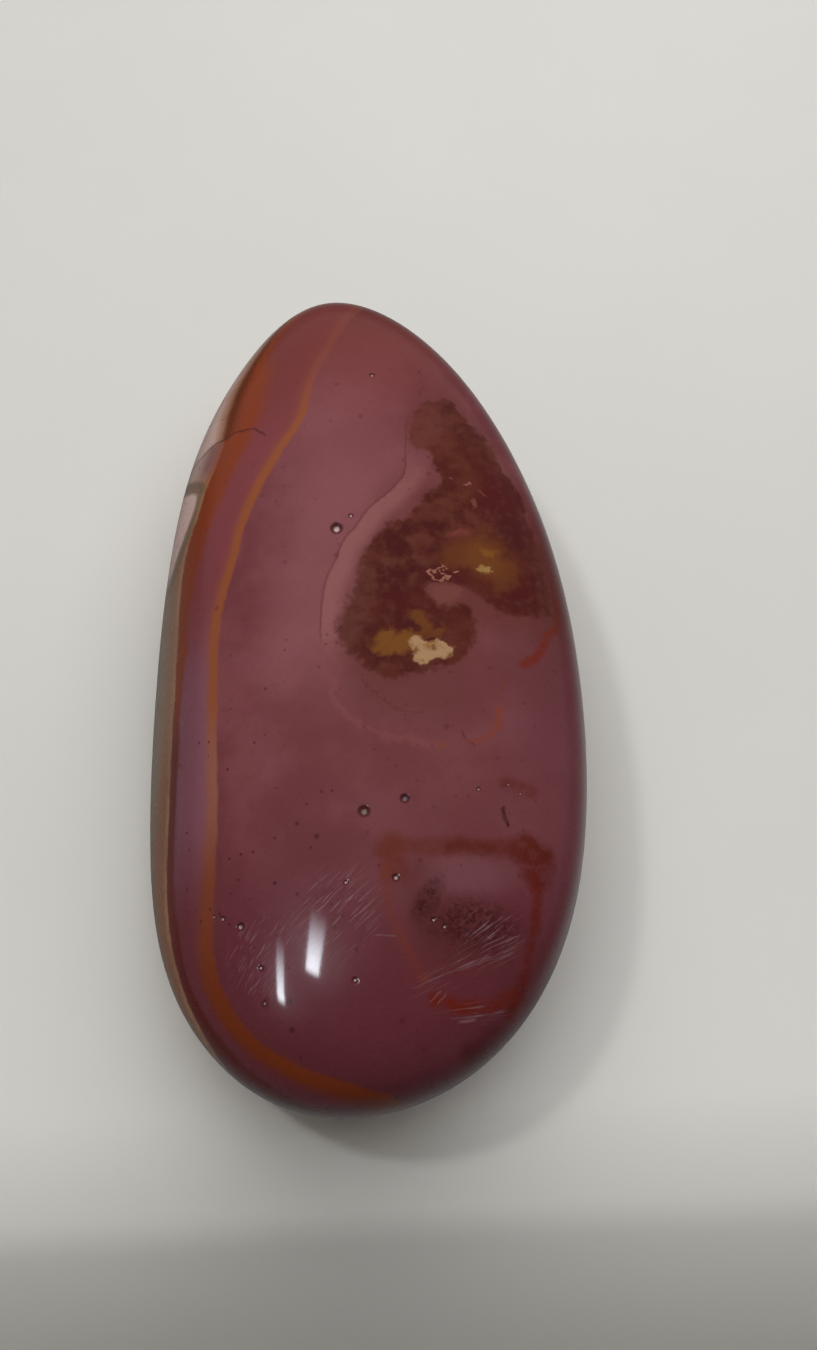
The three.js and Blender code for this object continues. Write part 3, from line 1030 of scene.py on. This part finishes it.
# %% Fill the room with grey light, dimmer on the viewer's side and low down
ROOM_NEAR, ROOM_FAR, ROOM_LOW = 0.085, 0.2, 0.06
RIM_DIM, RIM_BRIGHT = 0.12, 0.28
ROOM_TINT = (1.0, 0.99, 0.97, 1.0)
world = bpy.data.worlds.new("grey_room")
world.use_nodes = True
room = Recipe(world.node_tree)
way_out = room.node("ShaderNodeTexCoord").outputs["Generated"]
steepness = room.axis(way_out, "Z")
far_side = room.rises(room.axis(way_out, "Y"), -0.8, 0.8)
light = room.add(ROOM_NEAR, room.times(far_side, ROOM_FAR - ROOM_NEAR))
right_and_far = room.add(room.axis(way_out, "X"), room.axis(way_out, "Y"))
rim_light = room.add(RIM_DIM, room.times(room.rises(right_and_far, 0.3, 0.65), RIM_BRIGHT - RIM_DIM))
for level, start, end in ((ROOM_LOW, 0.1, -0.15), (rim_light, -0.2, -0.8)):
    share = room.rises(steepness, start, end)
    light = room.add(room.times(light, room.less(1.0, share)), room.times(level, share))
backdrop = world.node_tree.nodes["Background"]
backdrop.inputs["Color"].default_value = ROOM_TINT
room.feed(backdrop.inputs["Strength"], light)
bpy.context.scene.world = world
bpy.context.scene.view_settings.view_transform = "Standard"


# %% Hang the lamps
def hang_lamp(name, left, far, size, glow, distance=1.2, turn=0.0, tint=(1.0, 1.0, 1.0)):
    """An area lamp facing the stone, so many degrees left and far of straight up. Its length runs away from
    the viewer, turned to the right by turn degrees."""
    away = Vector((-math.sin(math.radians(left)), math.sin(math.radians(far)), 0))
    away.z = math.sqrt(1 - away.length_squared)
    lengthwise = Vector((math.sin(math.radians(turn)), math.cos(math.radians(turn)), 0))
    sideways = lengthwise.cross(away).normalized()
    data = bpy.data.lights.new(name, "AREA")
    data.shape = "RECTANGLE"
    data.size, data.size_y = size
    data.energy = glow * math.pi * size[0] * size[1]
    data.color = tint
    lamp = linked(data)
    lamp.location = away * distance
    lamp.rotation_euler = Matrix((sideways, away.cross(sideways), away)).transposed().to_euler()
    return lamp


soft = hang_lamp("soft_ceiling", left=-8, far=24, distance=0.33, size=(0.46, 0.46), glow=1.54)
key = hang_lamp("key_lamp", left=24, far=12, size=(0.11, 0.11), glow=47.0)
soft.visible_glossy = key.visible_glossy = False
FAR_FADE, NEAR_FADE = (1.0, 0.1), (0.0, 0.14)
tube = partial(hang_lamp, glow=34.0, tint=(0.86, 0.92, 1.0))
wide = tube("wide_tube", left=16.5, far=-10.2, size=(0.08, 0.34), turn=24)
narrow = tube("narrow_tube", left=30.4, far=-17.6, size=(0.055, 0.44), turn=27)
wide.visible_diffuse = narrow.visible_diffuse = False
for lamp in (wide, narrow):
    lamp.data.use_nodes = True
    glass = Recipe(lamp.data.node_tree)
    along_tube = glass.axis(glass.node("ShaderNodeNewGeometry").outputs["Parametric"], "Y")
    fading = glass.times(glass.rises(along_tube, *FAR_FADE), glass.rises(along_tube, *NEAR_FADE))
    glass.feed(lamp.data.node_tree.nodes["Emission"].inputs["Strength"], fading)

# %% Shade the near edge of the table with an unseen card
SHADE_EDGE, SHADE_HEIGHT, SHADE_REACH = -0.0442, 0.029, 0.4
shade = level_sheet("shade", SHADE_REACH, SHADE_EDGE - SHADE_REACH, SHADE_EDGE, SHADE_HEIGHT)
shade.visible_camera = shade.visible_glossy = False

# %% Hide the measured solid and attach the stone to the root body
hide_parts("stone")
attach(stone, "root")
